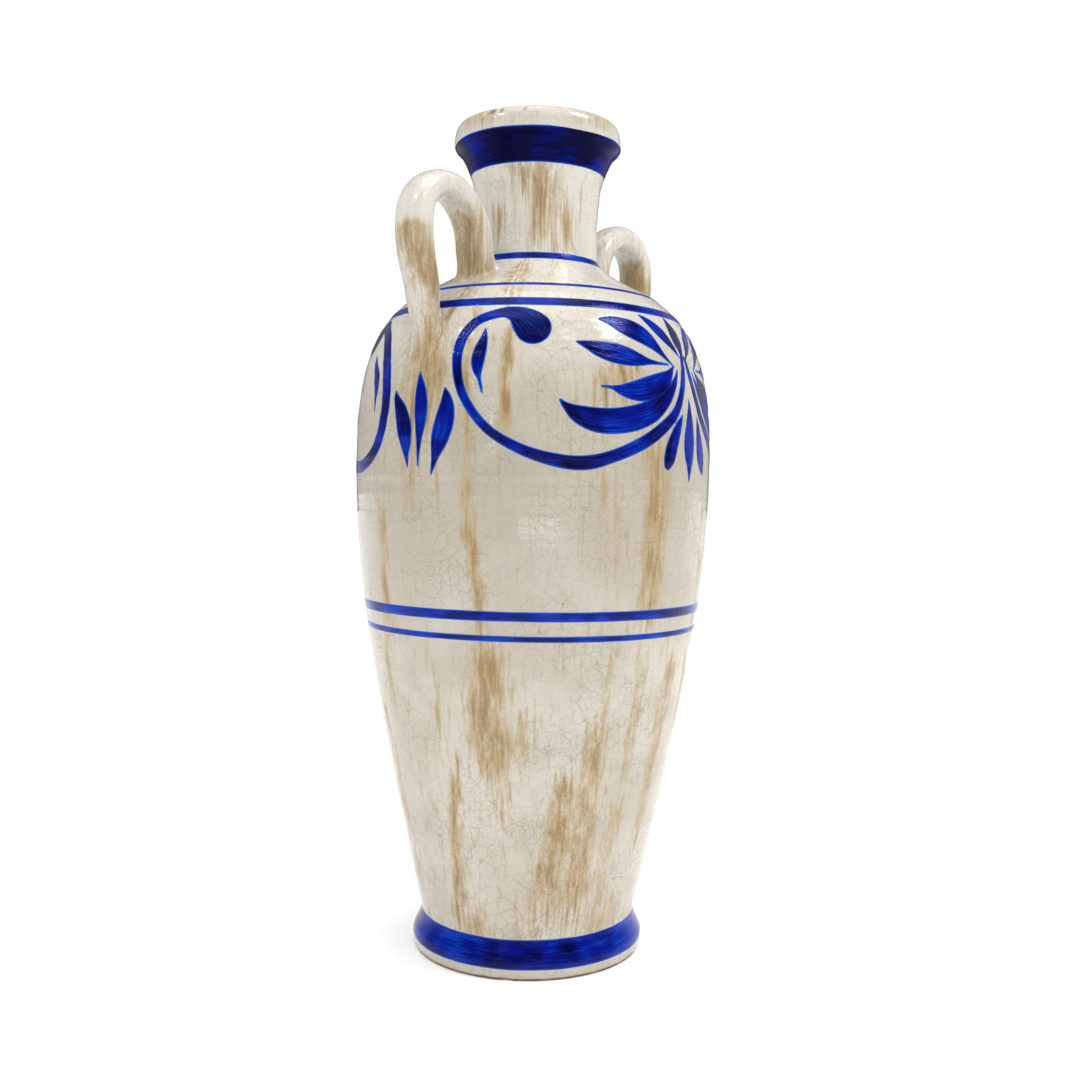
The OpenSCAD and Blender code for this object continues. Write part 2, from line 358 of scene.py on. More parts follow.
class Shader:
    """A material's node tree, with short calls for the nodes used here."""

    def __init__(self, name):
        self.material = bpy.data.materials.new(name)
        self.material.use_nodes = True
        self.tree = self.material.node_tree
        self.tree.nodes.clear()
        self.surface = self.node("ShaderNodeBsdfPrincipled")
        output = self.node("ShaderNodeOutputMaterial")
        self.tree.links.new(self.surface.outputs[0], output.inputs[0])

    def node(self, kind, inputs=None, **settings):
        made = self.tree.nodes.new(kind)
        for key, value in settings.items():
            setattr(made, key, value)
        for key, value in (inputs or {}).items():
            self.plug(made.inputs[key], value)
        return made

    def plug(self, socket, value):
        if isinstance(value, bpy.types.NodeSocket):
            self.tree.links.new(value, socket)
        else:
            socket.default_value = value

    def coat(self, inputs):
        """Sets or links inputs of the surface itself."""
        for key, value in inputs.items():
            self.plug(self.surface.inputs[key], value)

    def math(self, operation, a, b=0.0, c=0.0):
        return self.node("ShaderNodeMath", {0: a, 1: b, 2: c}, operation=operation).outputs[0]

    def blend(self, share, a, b):
        """Colour a where share is 0 and b where it is 1."""
        mix = self.node("ShaderNodeMix", {"Factor": share}, data_type="RGBA")
        for key, value in (("A_Color", a), ("B_Color", b)):
            socket = next(x for x in mix.inputs if x.identifier == key)
            self.plug(socket, value if isinstance(value, bpy.types.NodeSocket) else (*value, 1))
        return next(x for x in mix.outputs if x.identifier == "Result_Color")

    def ramp(self, value, low, high, to_low=0.0, to_high=1.0):
        """A smooth step of a value between two levels."""
        made = self.node("ShaderNodeMapRange", {"Value": value, "From Min": low,
                         "From Max": high, "To Min": to_low, "To Max": to_high},
                         interpolation_type="SMOOTHSTEP")
        return made.outputs["Result"]

    def here(self, scale=(1, 1, 1)):
        """Object coordinates, stretched."""
        coordinates = self.node("ShaderNodeTexCoord").outputs["Object"]
        mapping = self.node("ShaderNodeMapping", {"Vector": coordinates, "Scale": scale})
        return mapping.outputs[0]

    def noise(self, vector, scale, detail=3.0, roughness=0.55, output="Fac"):
        made = self.node("ShaderNodeTexNoise", {"Vector": vector, "Scale": scale,
                         "Detail": detail, "Roughness": roughness})
        return made.outputs[output]

    def attribute(self, name, output="Fac"):
        return self.node("ShaderNodeAttribute", attribute_name=name).outputs[output]

    def bump(self, height, distance):
        made = self.node("ShaderNodeBump", {"Height": height, "Distance": distance,
                         "Strength": 1.0})
        self.coat({"Normal": made.outputs[0]})


CREAM = (0.445, 0.403, 0.330)
WHITE = (0.520, 0.487, 0.420)
GREY = (0.350, 0.318, 0.255)
# Painted top light: the paler, whiter glaze colour blended over the upper parts
PAINTED_TOP_LIGHT = (0.64, 0.62, 0.575)
TAN = (0.375, 0.262, 0.108)
BROWN = (0.235, 0.142, 0.042)
CRACK = (0.19, 0.145, 0.095)
CLAY = (0.55, 0.37, 0.23)
PALE_CLAY = (0.62, 0.44, 0.29)
GROG = (0.33, 0.2, 0.12)
GRIME = (0.20, 0.115, 0.06)

# The slow ripple of a poured glaze, and the depth of all its unevenness in metres
RIPPLE_SCALE = 70
RIPPLE_SHARE = 0.55
GLAZE_BUMP = 0.00035


def crackle(shader, here, height):
    """Crazing in the glaze: long cracks with a finer net between them, both in patches."""
    drift = shader.noise(here, 110, 2.0, output="Color")
    spread = shader.node("ShaderNodeVectorMath", {0: drift, 1: (0.5, 0.5, 0.5)},
                         operation="SUBTRACT").outputs[0]
    bent = shader.node("ShaderNodeVectorMath", {0: spread, 1: (0.004, 0.004, 0.004), 2: here},
                       operation="MULTIPLY_ADD").outputs[0]
    nets = []
    for scale, line, strength in ((145, 0.024, 1.0), (310, 0.036, 0.75)):
        cells = shader.node("ShaderNodeTexVoronoi", {"Vector": bent, "Scale": scale},
                            feature="DISTANCE_TO_EDGE").outputs["Distance"]
        nets.append(shader.ramp(cells, 0.0, line, strength, 0.0))
    patches = shader.ramp(shader.noise(here, 30, 2.0), 0.38, 0.62, 0.3, 1.0)
    patches = shader.math("MULTIPLY", patches, shader.ramp(height, 0.34, 0.40, 1.0, 0.5))
    return shader.math("MULTIPLY", shader.math("MAXIMUM", *nets), patches)


def glaze_material():
    """Cream tin glaze: mottled, crazed, dragged with brown wash, bare where it is chipped, and
    paled upwards as painted top light.
    """
    shader = Shader("cream_glaze")
    here = shader.here()
    dragged = shader.here((1, 1, 0.06))
    broad = shader.noise(here, 26, 3.0)
    streaks = shader.noise(dragged, 330, 5.0, 0.62)
    hairs = shader.noise(dragged, 900, 3.0, 0.6)
    grain = shader.noise(here, 750, 3.0, 0.6)

    cream = shader.blend(shader.ramp(broad, 0.35, 0.65), CREAM, WHITE)
    cream = shader.blend(shader.ramp(streaks, 0.5, 0.75, 0.0, 0.45), cream, GREY)
    height = shader.node("ShaderNodeSeparateXYZ", {"Vector": here}).outputs["Z"]
    belly = shader.math("MULTIPLY", shader.ramp(height, 0.15, 0.23),
                        shader.ramp(height, 0.34, 0.27))
    cream = shader.blend(shader.math("MULTIPLY", belly, 0.5), cream, GREY)
    # Painted top light: from the shoulder up, over neck, lip and handles, the glaze pales towards
    # white as if lit from above.
    cream = shader.blend(shader.ramp(height, 0.29, 0.40, 0.0, 0.65), cream, PAINTED_TOP_LIGHT)
    # Painted shade: the lip is greyed again, which takes back part of the painted top light
    # there.
    cream = shader.blend(shader.ramp(height, 0.436, 0.442, 0.0, 0.35), cream, GREY)

    load = shader.attribute("stain_and_shade")
    brushed = shader.math("MULTIPLY_ADD", shader.math("SUBTRACT", streaks, 0.5), 1.9, load)
    brushed = shader.math("MULTIPLY_ADD", shader.math("SUBTRACT", hairs, 0.5), 0.9, brushed)
    brushed = shader.math("MULTIPLY_ADD", shader.math("SUBTRACT", grain, 0.5), 0.5, brushed)
    wash = shader.ramp(brushed, 0.18, 1.05)
    brown = shader.blend(shader.ramp(brushed, 0.70, 1.35), TAN, BROWN)
    colour = shader.blend(shader.math("MULTIPLY", wash, 0.88), cream, brown)

    cracks = crackle(shader, here, height)
    colour = shader.blend(shader.math("MULTIPLY", cracks, 0.62), colour, CRACK)

    bare = shader.attribute("bare")
    earth = shader.blend(shader.ramp(grain, 0.38, 0.6), GRIME, tuple(0.4 * c for c in GRIME))
    colour = shader.blend(bare, colour, earth)

    rough = shader.math("MULTIPLY_ADD", wash, 0.2, 0.11)
    rough = shader.math("MULTIPLY_ADD", cracks, 0.15, rough)
    rough = shader.math("MULTIPLY_ADD", bare, 0.65, rough)
    shader.coat({"Base Color": colour, "Roughness": rough, "IOR": 1.5})

    uneven = shader.math("MULTIPLY", shader.noise(here, RIPPLE_SCALE, 2.0), RIPPLE_SHARE)
    uneven = shader.math("MULTIPLY_ADD", cracks, -0.10, uneven)
    uneven = shader.math("MULTIPLY_ADD", shader.math("MULTIPLY", wash, hairs), 0.10, uneven)
    uneven = shader.math("MULTIPLY_ADD", shader.math("MULTIPLY", bare, grain), 0.8, uneven)
    shader.bump(uneven, GLAZE_BUMP)
    return shader.material


NAVY = (0.0008, 0.001, 0.028)
COBALT = (0.0004, 0.005, 0.19)
ROYAL = (0.0008, 0.036, 0.37)
FRINGE = (0.01, 0.10, 0.48)


def cobalt_material(name, depth, gloss):
    """Brushed cobalt. Depth, from 0 to 1, sets how dark and navy the blue runs."""
    shader = Shader(name)
    here = shader.here()
    brushed = shader.node("ShaderNodeMapping", {"Vector": shader.attribute("stroke", "Vector"),
                          "Scale": (0.035, 1.1, 3.7)}).outputs[0]
    hairs = shader.noise(brushed, 1.6, 4.0, 0.6)
    pools = shader.noise(here, 48, 1.5)
    thin = shader.math("MULTIPLY_ADD", shader.ramp(pools, 0.34, 0.64), 0.55,
                       shader.math("MULTIPLY", shader.ramp(hairs, 0.34, 0.66), 0.45))
    colour = shader.blend(shader.ramp(thin, depth - 0.42, depth), NAVY, COBALT)
    colour = shader.blend(shader.ramp(thin, depth, depth + 0.45), colour, ROYAL)
    inwards = shader.attribute("edge")
    pooled = shader.math("MULTIPLY", shader.attribute("pool"), shader.ramp(hairs, 0.7, 0.4))
    colour = shader.blend(shader.ramp(pooled, 0.0, 0.8, 0.0, 0.95), colour, NAVY)
    rim = shader.ramp(inwards, 0.1, 0.9, 0.8, 0.0)
    colour = shader.blend(rim, colour, FRINGE)
    rough = shader.ramp(hairs, 0.3, 0.8, 0.09, 0.2)
    shader.coat({"Base Color": colour, "Roughness": rough, "Specular IOR Level": gloss})
    ripple = shader.math("MULTIPLY", shader.noise(here, RIPPLE_SCALE, 2.0), RIPPLE_SHARE)
    shader.bump(shader.math("MULTIPLY_ADD", hairs, 0.4, ripple), GLAZE_BUMP)
    return shader.material


def clay_material():
    """Unglazed earthenware with grog and finger drag."""
    shader = Shader("bare_clay")
    here = shader.here()
    grog = shader.noise(here, 900, 4.0, 0.65)
    broad = shader.noise(here, 60, 2.0)
    colour = shader.blend(shader.ramp(broad, 0.3, 0.7), CLAY, PALE_CLAY)
    colour = shader.blend(shader.ramp(grog, 0.58, 0.7), colour, GROG)
    shader.coat({"Base Color": colour, "Roughness": shader.ramp(grog, 0.2, 0.8, 0.75, 0.95)})
    shader.bump(grog, 0.0004)
    return shader.material


GLAZE = glaze_material()
COBALT_BRUSHED = cobalt_material("cobalt_brushed", 0.6, 0.16)
COBALT_LINE = cobalt_material("cobalt_line", 0.5, 0.16)
# The rim band's blue, set darkest and least glossy, on the flare's downward face.
COBALT_DARKEST = cobalt_material("cobalt_darkest", 0.82, 0.04)
EARTH = clay_material()


# ---------------- thrown pieces

FINE = 1.5
COARSE = 6.0
BODY_COLUMNS = 440
NECK_COLUMNS = 300

# Chips: azimuth from 0 to 360, half width in degrees, and depth
FOOT_CHIPS = ((26, 3.5, 0.9), (15, 1.6, 0.5), (61, 1.4, 0.4), (140, 3, 0.7), (250, 4, 0.8))
LIP_CHIPS = ((3, 3.0, 0.45), (10, 1.3, 0.35), (27, 1.1, 0.3), (205, 3.0, 0.5), (118, 1.5, 0.35))


def foot_bareness(az, z, r):
    """Bare clay under the foot and along its lower edge, where the glaze was wiped."""
    ragged = 0.35 * np.sin(np.radians(az) * 17) + 0.3 * np.sin(np.radians(az) * 41 + 1)
    edge = soft_step(1.5, 0.7, z + 0.4 * ragged)
    inside = r < FOOT_R - 8
    return np.where(inside, 1.0, edge)


def chipped(chips, az):
    """How deep the chips of an edge are, round the jar."""
    return sum(deep * np.clip(1 - ((az - at) / half) ** 2, 0, 1) for at, half, deep in chips)


def foot_chips(az, z, r):
    """Shallow chips out of the foot's lower edge."""
    edge = np.clip(1 - (z / 3.0) ** 2, 0, 1) * (r > FOOT_R - 5)
    return -chipped(FOOT_CHIPS, az) * edge


def floor_bareness(az, z, r):
    """Bare clay on the floor's underside."""
    return np.where(z < FOOT_H - 1, 1.0, 0.0)


def no_bareness(az, z, r):
    return np.zeros(np.shape(az))


def glazed(name, node, loop, columns, bareness=no_bareness, shape=None):
    """A turned piece in glaze, with its wash and its bare spots."""
    turned(name, loop, columns, GLAZE, [node], shape,
           {"stain_and_shade": stain_and_shade, "bare": bareness})


def make_foot():
    outer = spaced(line((FOOT_EDGE, FOOT_ROUND, WAIST)), 0.9)
    loop = chain([[RECESS_R + 3, 0]], outer, [[RECESS_R, FOOT_H], [RECESS_R, 3]])
    glazed("foot_ring_turned", "foot_ring", loop, BODY_COLUMNS, foot_bareness, foot_chips)


def make_lower_body():
    outer = spaced(line((WAIST, WAIST_RISE, BELLY_SEAM)), FINE)
    inside = line((WAIST_RISE, BELLY_SEAM), WALL)
    corner = bezier((RECESS_R - 13, FLOOR_TOP, 0, 0, 11), (*inside[0], 78, 9, 0), 10)
    loop = chain([[0, FLOOR_LOW], [RECESS_R, FLOOR_LOW], [RECESS_R, FOOT_H]], outer,
                 joint(BELLY_SEAM), spaced(inside[::-1], COARSE), corner[::-1],
                 [[0, FLOOR_TOP]])
    glazed("lower_body_thrown", "lower_body", loop, BODY_COLUMNS, floor_bareness)


def make_upper_body():
    stations = (BELLY_SEAM, BELLY, SHOULDER, NECK_SEAM)
    loop = chain(spaced(line(stations), FINE), joint(NECK_SEAM),
                 spaced(line(stations, WALL)[::-1], COARSE), joint(BELLY_SEAM)[::-1][:-1])
    glazed("upper_body_thrown", "upper_body", loop, BODY_COLUMNS)


def make_neck():
    stations = (NECK_SEAM, NECK_BASE, NECK_WAIST, FLARE)
    loop = chain(spaced(line(stations), 1.2), joint(FLARE),
                 spaced(line(stations, WALL)[::-1], 3), joint(NECK_SEAM)[::-1][:-1])
    glazed("neck_thrown", "neck", loop, NECK_COLUMNS)


def lip_chips(az, z, r):
    """How deep the lip's small chips are: they sit on its upper outer edge."""
    edge = np.clip(1 - ((z - HEIGHT + 2.4) / 1.6) ** 2, 0, 1) * (r > LIP_R - 4)
    return chipped(LIP_CHIPS, az) * edge


def lip_shape(az, z, r):
    """The chips, and the slow wave that a rolled coil keeps."""
    return -lip_chips(az, z, r) - 0.15 * np.sin(np.radians(az) * 3 + 1)


def lip_bareness(az, z, r):
    return np.clip(lip_chips(az, z, r) * 2.2, 0, 1)


def make_lip():
    seam = joint(FLARE)
    inside_end = seam[-1]
    lip_inside = (inside_end[0] - 0.9, HEIGHT - 6.5, 268, 4.2, 2)
    crease = (*inside_end, 300, 2, 0)
    loop = chain(spaced(line((FLARE, LIP_EDGE, LIP_TOP)), 0.8),
                 spaced(line((LIP_TOP, lip_inside, crease)), 1.0), seam[::-1][:-1])
    glazed("lip_rolled", "lip_coil", loop, NECK_COLUMNS, lip_bareness, lip_shape)


COIL_BULGE = 2.9


def finger_presses(az):
    """Depth of the finger presses along a luting coil."""
    return 0.7 * np.abs(np.sin(np.radians(az) * 13 + 0.4 * np.sin(np.radians(az) * 5)))


def make_seam_coil(name, node, stations, z_low, z_high, step, columns):
    """A luting coil pressed on the inside of a seam, flat on the wall and round within."""
    wall = line(stations, WALL)
    wall_line = spaced(wall[(wall[:, 1] > z_low) & (wall[:, 1] < z_high)], step)
    low, high = wall_line[0], wall_line[-1]
    middle, half = (low + high) / 2, (high - low) / 2
    inward = np.array([-half[1], half[0]]) / np.linalg.norm(half)
    turn = np.linspace(0, math.pi, 13)[1:-1, None]
    back = middle + half * np.cos(turn) + COIL_BULGE * inward * np.sin(turn)

    def pressed(az, z, r):
        proud = np.interp(z, wall_line[:, 1], wall_line[:, 0]) - r
        return finger_presses(az) * np.clip(proud / COIL_BULGE, 0, 1)
    turned(name, chain(wall_line, back), columns, EARTH, [node], pressed)


def make_coils():
    make_seam_coil("belly_seam_pressed", "belly_seam_coil", (WAIST_RISE, BELLY_SEAM, BELLY),
                   SEAM_Z - 12.5, SEAM_Z + 12.5, 2, 160)
    make_seam_coil("neck_seam_pressed", "neck_seam_coil", (SHOULDER, NECK_SEAM, NECK_BASE),
                   HEIGHT - 86.6, HEIGHT - 74, 1.5, 120)


# ---------------- handles

STRAP_T = 14.0
STRAP_W = 19.8
STRAP_START = (NECK_R + 20, HEIGHT - 101.5)
STRAP_HEADING = 106
# Radius and turn in degrees of each bend, as in the CAD model
BENDS = ((75, -23), (30, -57), (19, -58), (20, -53), (62, -24), (90, 20), (24, -55))
STRAP_SIDES = 56
STRAP_STEP = 1.2
INNER_ROOT_Z = 375.5
OUTER_ROOT_Z = 349.0
# A collar's height on the wall, its reach uphill and downhill, its half width, and 1 or -1
# as the strap's side outside the loop lands uphill or downhill
INNER_COLLAR = (364.5, 12.5, 13.5, 15.0, 1)
OUTER_COLLAR = (326.0, 19.0, 13.0, 11.5, -1)
COLLAR_STEPS = 16


def strap_line():
    """Points and headings of the strap's middle line, in its own upright plane."""
    points, headings = [], []
    x, z, heading = *STRAP_START, math.radians(STRAP_HEADING)
    for radius, turn in BENDS:
        side = math.copysign(1, turn)
        centre = (x - side * radius * math.sin(heading), z + side * radius * math.cos(heading))
        count = max(2, round(radius * math.radians(abs(turn)) / STRAP_STEP))
        for k in range(count):
            h = heading + math.radians(turn) * k / count
            points.append((centre[0] + side * radius * math.sin(h),
                           centre[1] - side * radius * math.cos(h)))
            headings.append(h)
        heading += math.radians(turn)
        x = centre[0] + side * radius * math.sin(heading)
        z = centre[1] - side * radius * math.cos(heading)
    return np.array(points), np.array(headings)


def strap_section(share):
    """Half sizes of the strap at a share of its length: the outer end is pulled thinner."""
    thin = 1 - 0.02 * math.exp(-((share - 0.5) / 0.2) ** 2)
    ends = 1 + 0.05 * max(1 - 2 * share, 0) ** 4 - 0.05 * float(soft_step(0.74, 1, share))
    sway = 0.02 * math.sin(9 * share + 1)
    return STRAP_T / 2 * thin * ends, STRAP_W / 2 * ends * (1 + sway)


def section_ring(point, heading, share, angles):
    """A soft-cornered oval across the strap: (distance from the axis, sideways, height)."""
    half_t, half_w = strap_section(share)
    power = 2 / 2.5
    c, s = np.cos(angles), np.sin(angles)
    across = half_t * np.sign(c) * np.abs(c) ** power
    aside = half_w * np.sign(s) * np.abs(s) ** power
    across = across + 0.15 * np.sin(3 * angles + 6 * share)
    return np.stack([point[0] - across * math.sin(heading), aside,
                     point[1] + across * math.cos(heading)], -1)


def from_handle(local, az):
    """Points of a handle's own plane, set at an azimuth of the jar."""
    turn = math.radians(az - MINUS_Y)
    out = np.array([math.sin(turn), -math.cos(turn), 0])
    aside = np.array([math.cos(turn), math.sin(turn), 0])
    return local[..., :1] * out + local[..., 1:2] * aside + local[..., 2:] * np.array([0, 0, 1])


def capped(rows):
    """Points and faces of rows of rings that wrap round, closed at both ends by fans."""
    count, sides = rows.shape[:2]
    points = np.concatenate([rows.reshape(-1, 3), [rows[0].mean(0), rows[-1].mean(0)]])
    faces = grid_faces(count, sides, False)
    first, last, top = len(points) - 2, len(points) - 1, (count - 1) * sides
    faces += [[first, (k + 1) % sides, k] for k in range(sides)]
    faces += [[last, top + k, top + (k + 1) % sides] for k in range(sides)]
    return points, faces


def strap_stain(share, angles, left):
    """Wash down the outer limb, drifting to one side, and on the inner limb's loop side."""
    drift = 0.2 + 1.2 * float(soft_step(0.62, 1, share)) if left else 0
    outer_face = np.exp(-((angles - drift) / 1.0) ** 2)
    loop_face = np.exp(-((np.abs(angles) - math.pi) / 1.25) ** 2)
    lower = soft_step(0.66, 0.73, share) * soft_step(1.1, 0.92, share)
    inner = soft_step(0.35, 0.10, share)
    under = soft_step(0.50, 0.62, share)
    total = 0.2 + 0.2 * lower + 0.95 * (0.15 + 0.85 * loop_face) * inner
    total = total + 0.9 * outer_face * lower
    if not left:
        total = total + 0.1 + 0.8 * loop_face * under
    return np.clip(total, 0, 1)


def make_handle(side, az):
    left = side == "left"
    path, headings = strap_line()
    crown = int(np.argmax(path[:, 1]))
    first = int(np.argmin(np.abs(path[:crown, 1] - INNER_ROOT_Z)))
    last = crown + int(np.argmin(np.abs(path[crown:, 1] - OUTER_ROOT_Z)))
    angles = np.linspace(-math.pi, math.pi, STRAP_SIDES, endpoint=False)
    shares = np.linspace(0, 1, last - first + 1)
    rings = np.array([section_ring(path[i], headings[i], shares[i - first], angles)
                      for i in range(first, last + 1)])
    points, faces = capped(from_handle(rings, az))
    wash = np.array([strap_stain(u, angles, left) for u in shares]).ravel()
    values = {"stain_and_shade": np.append(wash, [0, 0]), "bare": np.zeros(len(points))}
    make_piece(f"handle_{side}_strap", points, faces, GLAZE,
               [f"handle_{side}"], values, crease=60)

    ends = ((rings[0], -1, headings[first], INNER_COLLAR, wash[:STRAP_SIDES]),
            (rings[-1], 1, headings[last], OUTER_COLLAR, wash[-STRAP_SIDES:]))
    points, faces, washes = [], [], []
    for ring, way, heading, footprint, end_wash in ends:
        rows, row_wash = collar_rows(ring, way, heading, az, footprint, angles, end_wash)
        more, more_faces = capped(rows)
        shift = sum(len(p) for p in points)
        faces += [[shift + k for k in face] for face in more_faces]
        points.append(more)
        washes.append(np.append(row_wash.ravel(), [0, 0]))
    points = np.concatenate(points)
    values = {"stain_and_shade": np.concatenate(washes), "bare": np.zeros(len(points))}
    make_piece(f"handle_{side}_collars", points, faces, GLAZE,
               [f"handle_{side}_luting"], values, crease=60)


def collar_rows(ring, way, heading, handle_az, footprint, angles, end_wash):
    """Rings that flow from the strap's end out onto the wall, like clay smeared by thumb."""
    z, up, down, half_w, slope = footprint
    start = from_handle(ring, handle_az)
    s_mid, r_mid = s_at(z), float(outline_at(s_at(z))[0])
    along = slope * np.cos(angles)
    reach = np.where(along > 0, up, down)
    lumps = 1 + 0.05 * np.sin(5 * angles + z)
    s_end = s_mid + along * reach * lumps
    az_end = handle_az + np.degrees(np.sin(angles) * half_w * lumps / r_mid)
    end = on_wall(az_end, s_end, -0.12)
    beyond = on_wall(handle_az + (az_end - handle_az) * 1.15,
                     s_mid + (s_end - s_mid) * 1.15, -0.12)
    landing = beyond - end
    landing /= np.linalg.norm(landing, axis=1, keepdims=True)
    gap = np.linalg.norm(end - start, axis=1, keepdims=True)
    leaving = from_handle(way * np.array([math.cos(heading), 0, math.sin(heading)]), handle_az)
    rows = []
    for t in np.linspace(0, 1, COLLAR_STEPS + 1):
        h00, h10 = 2 * t ** 3 - 3 * t ** 2 + 1, t ** 3 - 2 * t ** 2 + t
        h01, h11 = -2 * t ** 3 + 3 * t ** 2, t ** 3 - t ** 2
        dents = 0.35 * math.sin(math.pi * t) * np.sin(4 * angles + 2 * t + z)[:, None]
        rows.append(h00 * start + h10 * gap * 1.1 * leaving + h01 * end
                    + h11 * gap * landing + dents * landing)
    rows = np.array(rows)
    r_end, z_end = outline_at(s_end)[:2]
    wall_wash = stain_and_shade(az_end, z_end, r_end)
    if way < 0:
        rows = rows[:, ::-1]
        end_wash, wall_wash = end_wash[::-1], wall_wash[::-1]
    fade = np.linspace(0, 1, COLLAR_STEPS + 1)[:, None]
    wash = end_wash[None, :] * (1 - fade ** 3) + (wall_wash[None, :] + 0.1) * fade ** 3
    return rows, wash


# ---------------- painted bands

RELIEF = 0.16
SINK = 0.15


def relief(depth):
    """Height of the raised cobalt at a distance in from a stroke's edge."""
    return 0.02 + RELIEF * (1 - np.exp(-np.maximum(depth, 0) / 0.5))


def ragged(az, seed, size):
    """A brushed edge's small wander round the jar."""
    rng = np.random.default_rng(seed)
    total = 0
    for waves in (2, 3, 5, 9, 16, 31, 57):
        total = total + rng.uniform(0.4, 1) / waves ** 0.4 * np.sin(
            np.radians(az) * waves + rng.uniform(0, 6.28))
    return size * total * 0.35


def make_band(name, z_low, z_high, material, seed, wander=0.25, columns=720):
    """A painted ring between two heights, as a thin closed skin on the wall."""
    az = np.arange(columns) * 360 / columns
    low = s_at(z_low) + ragged(az, seed, wander)
    high = s_at(z_high) + ragged(az, seed + 1, wander)
    across = max(6, round((s_at(z_high) - s_at(z_low)) / 0.7))
    front = np.linspace(0, 1, across + 1)
    share = np.concatenate([front, front[::-1]])[:, None]
    s = low + (high - low) * share
    edge = np.minimum(s - low, high - s)
    lift = relief(edge)
    lift[across + 1:] = -SINK
    points = on_wall(az[None, :] + np.zeros_like(s), s, lift)
    along = np.radians(az)[None, :] * outline_at(s)[0]
    stroke = np.stack([along, s - low, np.full_like(s, seed)], -1)
    rows = len(s)
    faces = grid_faces(rows, columns, True)
    make_piece(name, points.reshape(-1, 3), faces, material, (),
               {"edge": edge.ravel(), "stroke": stroke.reshape(-1, 3)}, crease=50)


def make_bands():
    make_band("rim_band", 422.5, 438.9, COBALT_DARKEST, 11)
    make_band("neck_line", 372.4, 376.3, COBALT_LINE, 13)
    make_band("shoulder_line_thin", 352.9, 354.7, COBALT_LINE, 15, 0.2)
    make_band("shoulder_line_thick", 341.0, 345.4, COBALT_LINE, 17, 0.2)
    make_band("belly_line_thick", 187.0, 192.0, COBALT_LINE, 19)
    make_band("belly_line_thin", 177.0, 180.0, COBALT_LINE, 21, 0.2)
    make_band("foot_band", 5.8, 20.0, COBALT_LINE, 23, 0.3)


# ---------------- brush strokes

# Every stroke is a chain of (a, z, half width): a is degrees from the palmette's axis
# towards the handle, z the height, and the half width is in millimetres.
SCROLL = ((57.2, 329.3, 8.4), (58.6, 331.5, 7.6), (62, 335.6, 4.8), (67.5, 336.9, 2.8),
          (76, 332.3, 2.5), (80, 322, 2.5), (80, 308.5, 2.3), (77, 294.5, 2.0),
          (70, 280, 2.0), (60.5, 270.5, 2.3), (50.5, 265.3, 2.9), (41.5, 264.2, 3.2),
          (32.5, 268, 2.8), (22.5, 275, 3.0), (14.5, 283, 2.9), (8.5, 291, 2.5),
          (4.5, 301.5, 2.1), (2, 312, 1.8), (1, 320, 1.2))
SCROLL_LEAF = ((72.3, 328.5, 0.3), (72.4, 324, 1.6), (73.1, 318.5, 2.9), (73.6, 313, 3.1),
               (73.5, 308.5, 2.2), (72.9, 304.5, 0.9), (72.1, 300, 0.6), (71.7, 297.3, 0.3))
SCROLL_TWO = ((54, 329.5, 8.2), (55.5, 331.6, 7.4), (58.5, 335.2, 4.8), (62.5, 334.5, 2.9),
              (69, 326.5, 3.2), (73.5, 314, 3.5), (76, 300, 3.5), (75.9, 288, 3.4),
              (73.5, 276, 3.3), (68.5, 267.5, 3.1), (60, 262.5, 3.0), (50, 262.3, 3.0),
              (41, 264.4, 3.2), (32, 268.4, 2.8), (22, 275.2, 3.0), (14, 283, 3.0),
              (8.3, 291, 2.5), (4.3, 301.5, 2.1), (1.8, 312, 1.8), (0.8, 320, 1.2))
SCROLL_TWO_LEAF = ((63, 319.8, 0.3), (64.8, 315, 1.7), (67.6, 308, 2.7), (68.6, 302, 2.0),
                   (68.9, 296, 0.9), (69, 290.3, 0.3))
FROND = ((49, 294, 0.5), (47.2, 291, 1.7), (43.6, 287.3, 4.0), (38.5, 285, 5.5),
         (32.5, 284.8, 5.8), (26, 286.6, 5.8), (20, 290, 5.3), (15.5, 294.3, 4.4),
         (12, 298.8, 3.3), (9, 303.8, 2.2), (6.5, 309.5, 1.0), (5.4, 313, 0.3))
PETALS = (
    ((36.5, 301.4, 0.4), (33, 301, 0.9), (30, 300, 2.4), (26, 299.9, 4.2), (22, 300.9, 5.3),
     (17.5, 303, 5.5), (13.5, 306, 4.4), (10.3, 309.6, 2.4), (7.6, 314, 0.4)),
    ((43.4, 322.6, 0.5), (40, 321.2, 2.1), (36.5, 319.6, 3.8), (32, 318.3, 4.9),
     (27, 317, 4.5), (22.5, 315.9, 3.0), (18.5, 315.3, 1.4), (14.5, 315, 0.7), (10, 315, 0.4)),
    ((34.7, 335, 0.6), (30.5, 334.3, 2.7), (26.5, 332.6, 4.5), (22.5, 330.8, 5.3),
     (18.5, 328.2, 4.8), (15.5, 325, 3.4), (13, 321.6, 2.0), (10.5, 318.3, 1.0), (7, 314.2, 0.3)),
    ((17.2, 339.4, 0.5), (14.5, 337, 2.0), (11.5, 333.8, 3.2), (8.5, 330, 3.3),
     (5.9, 326, 2.2), (4, 322.8, 1.1), (2.5, 320, 0.3)),
)
CENTRE_PETAL = ((2.2, 340.5, 0.5), (1.7, 337.5, 2.1), (1.1, 333.5, 3.8), (0.8, 329, 4.0),
                (0.6, 324.5, 2.3), (0.4, 319, 0.5))
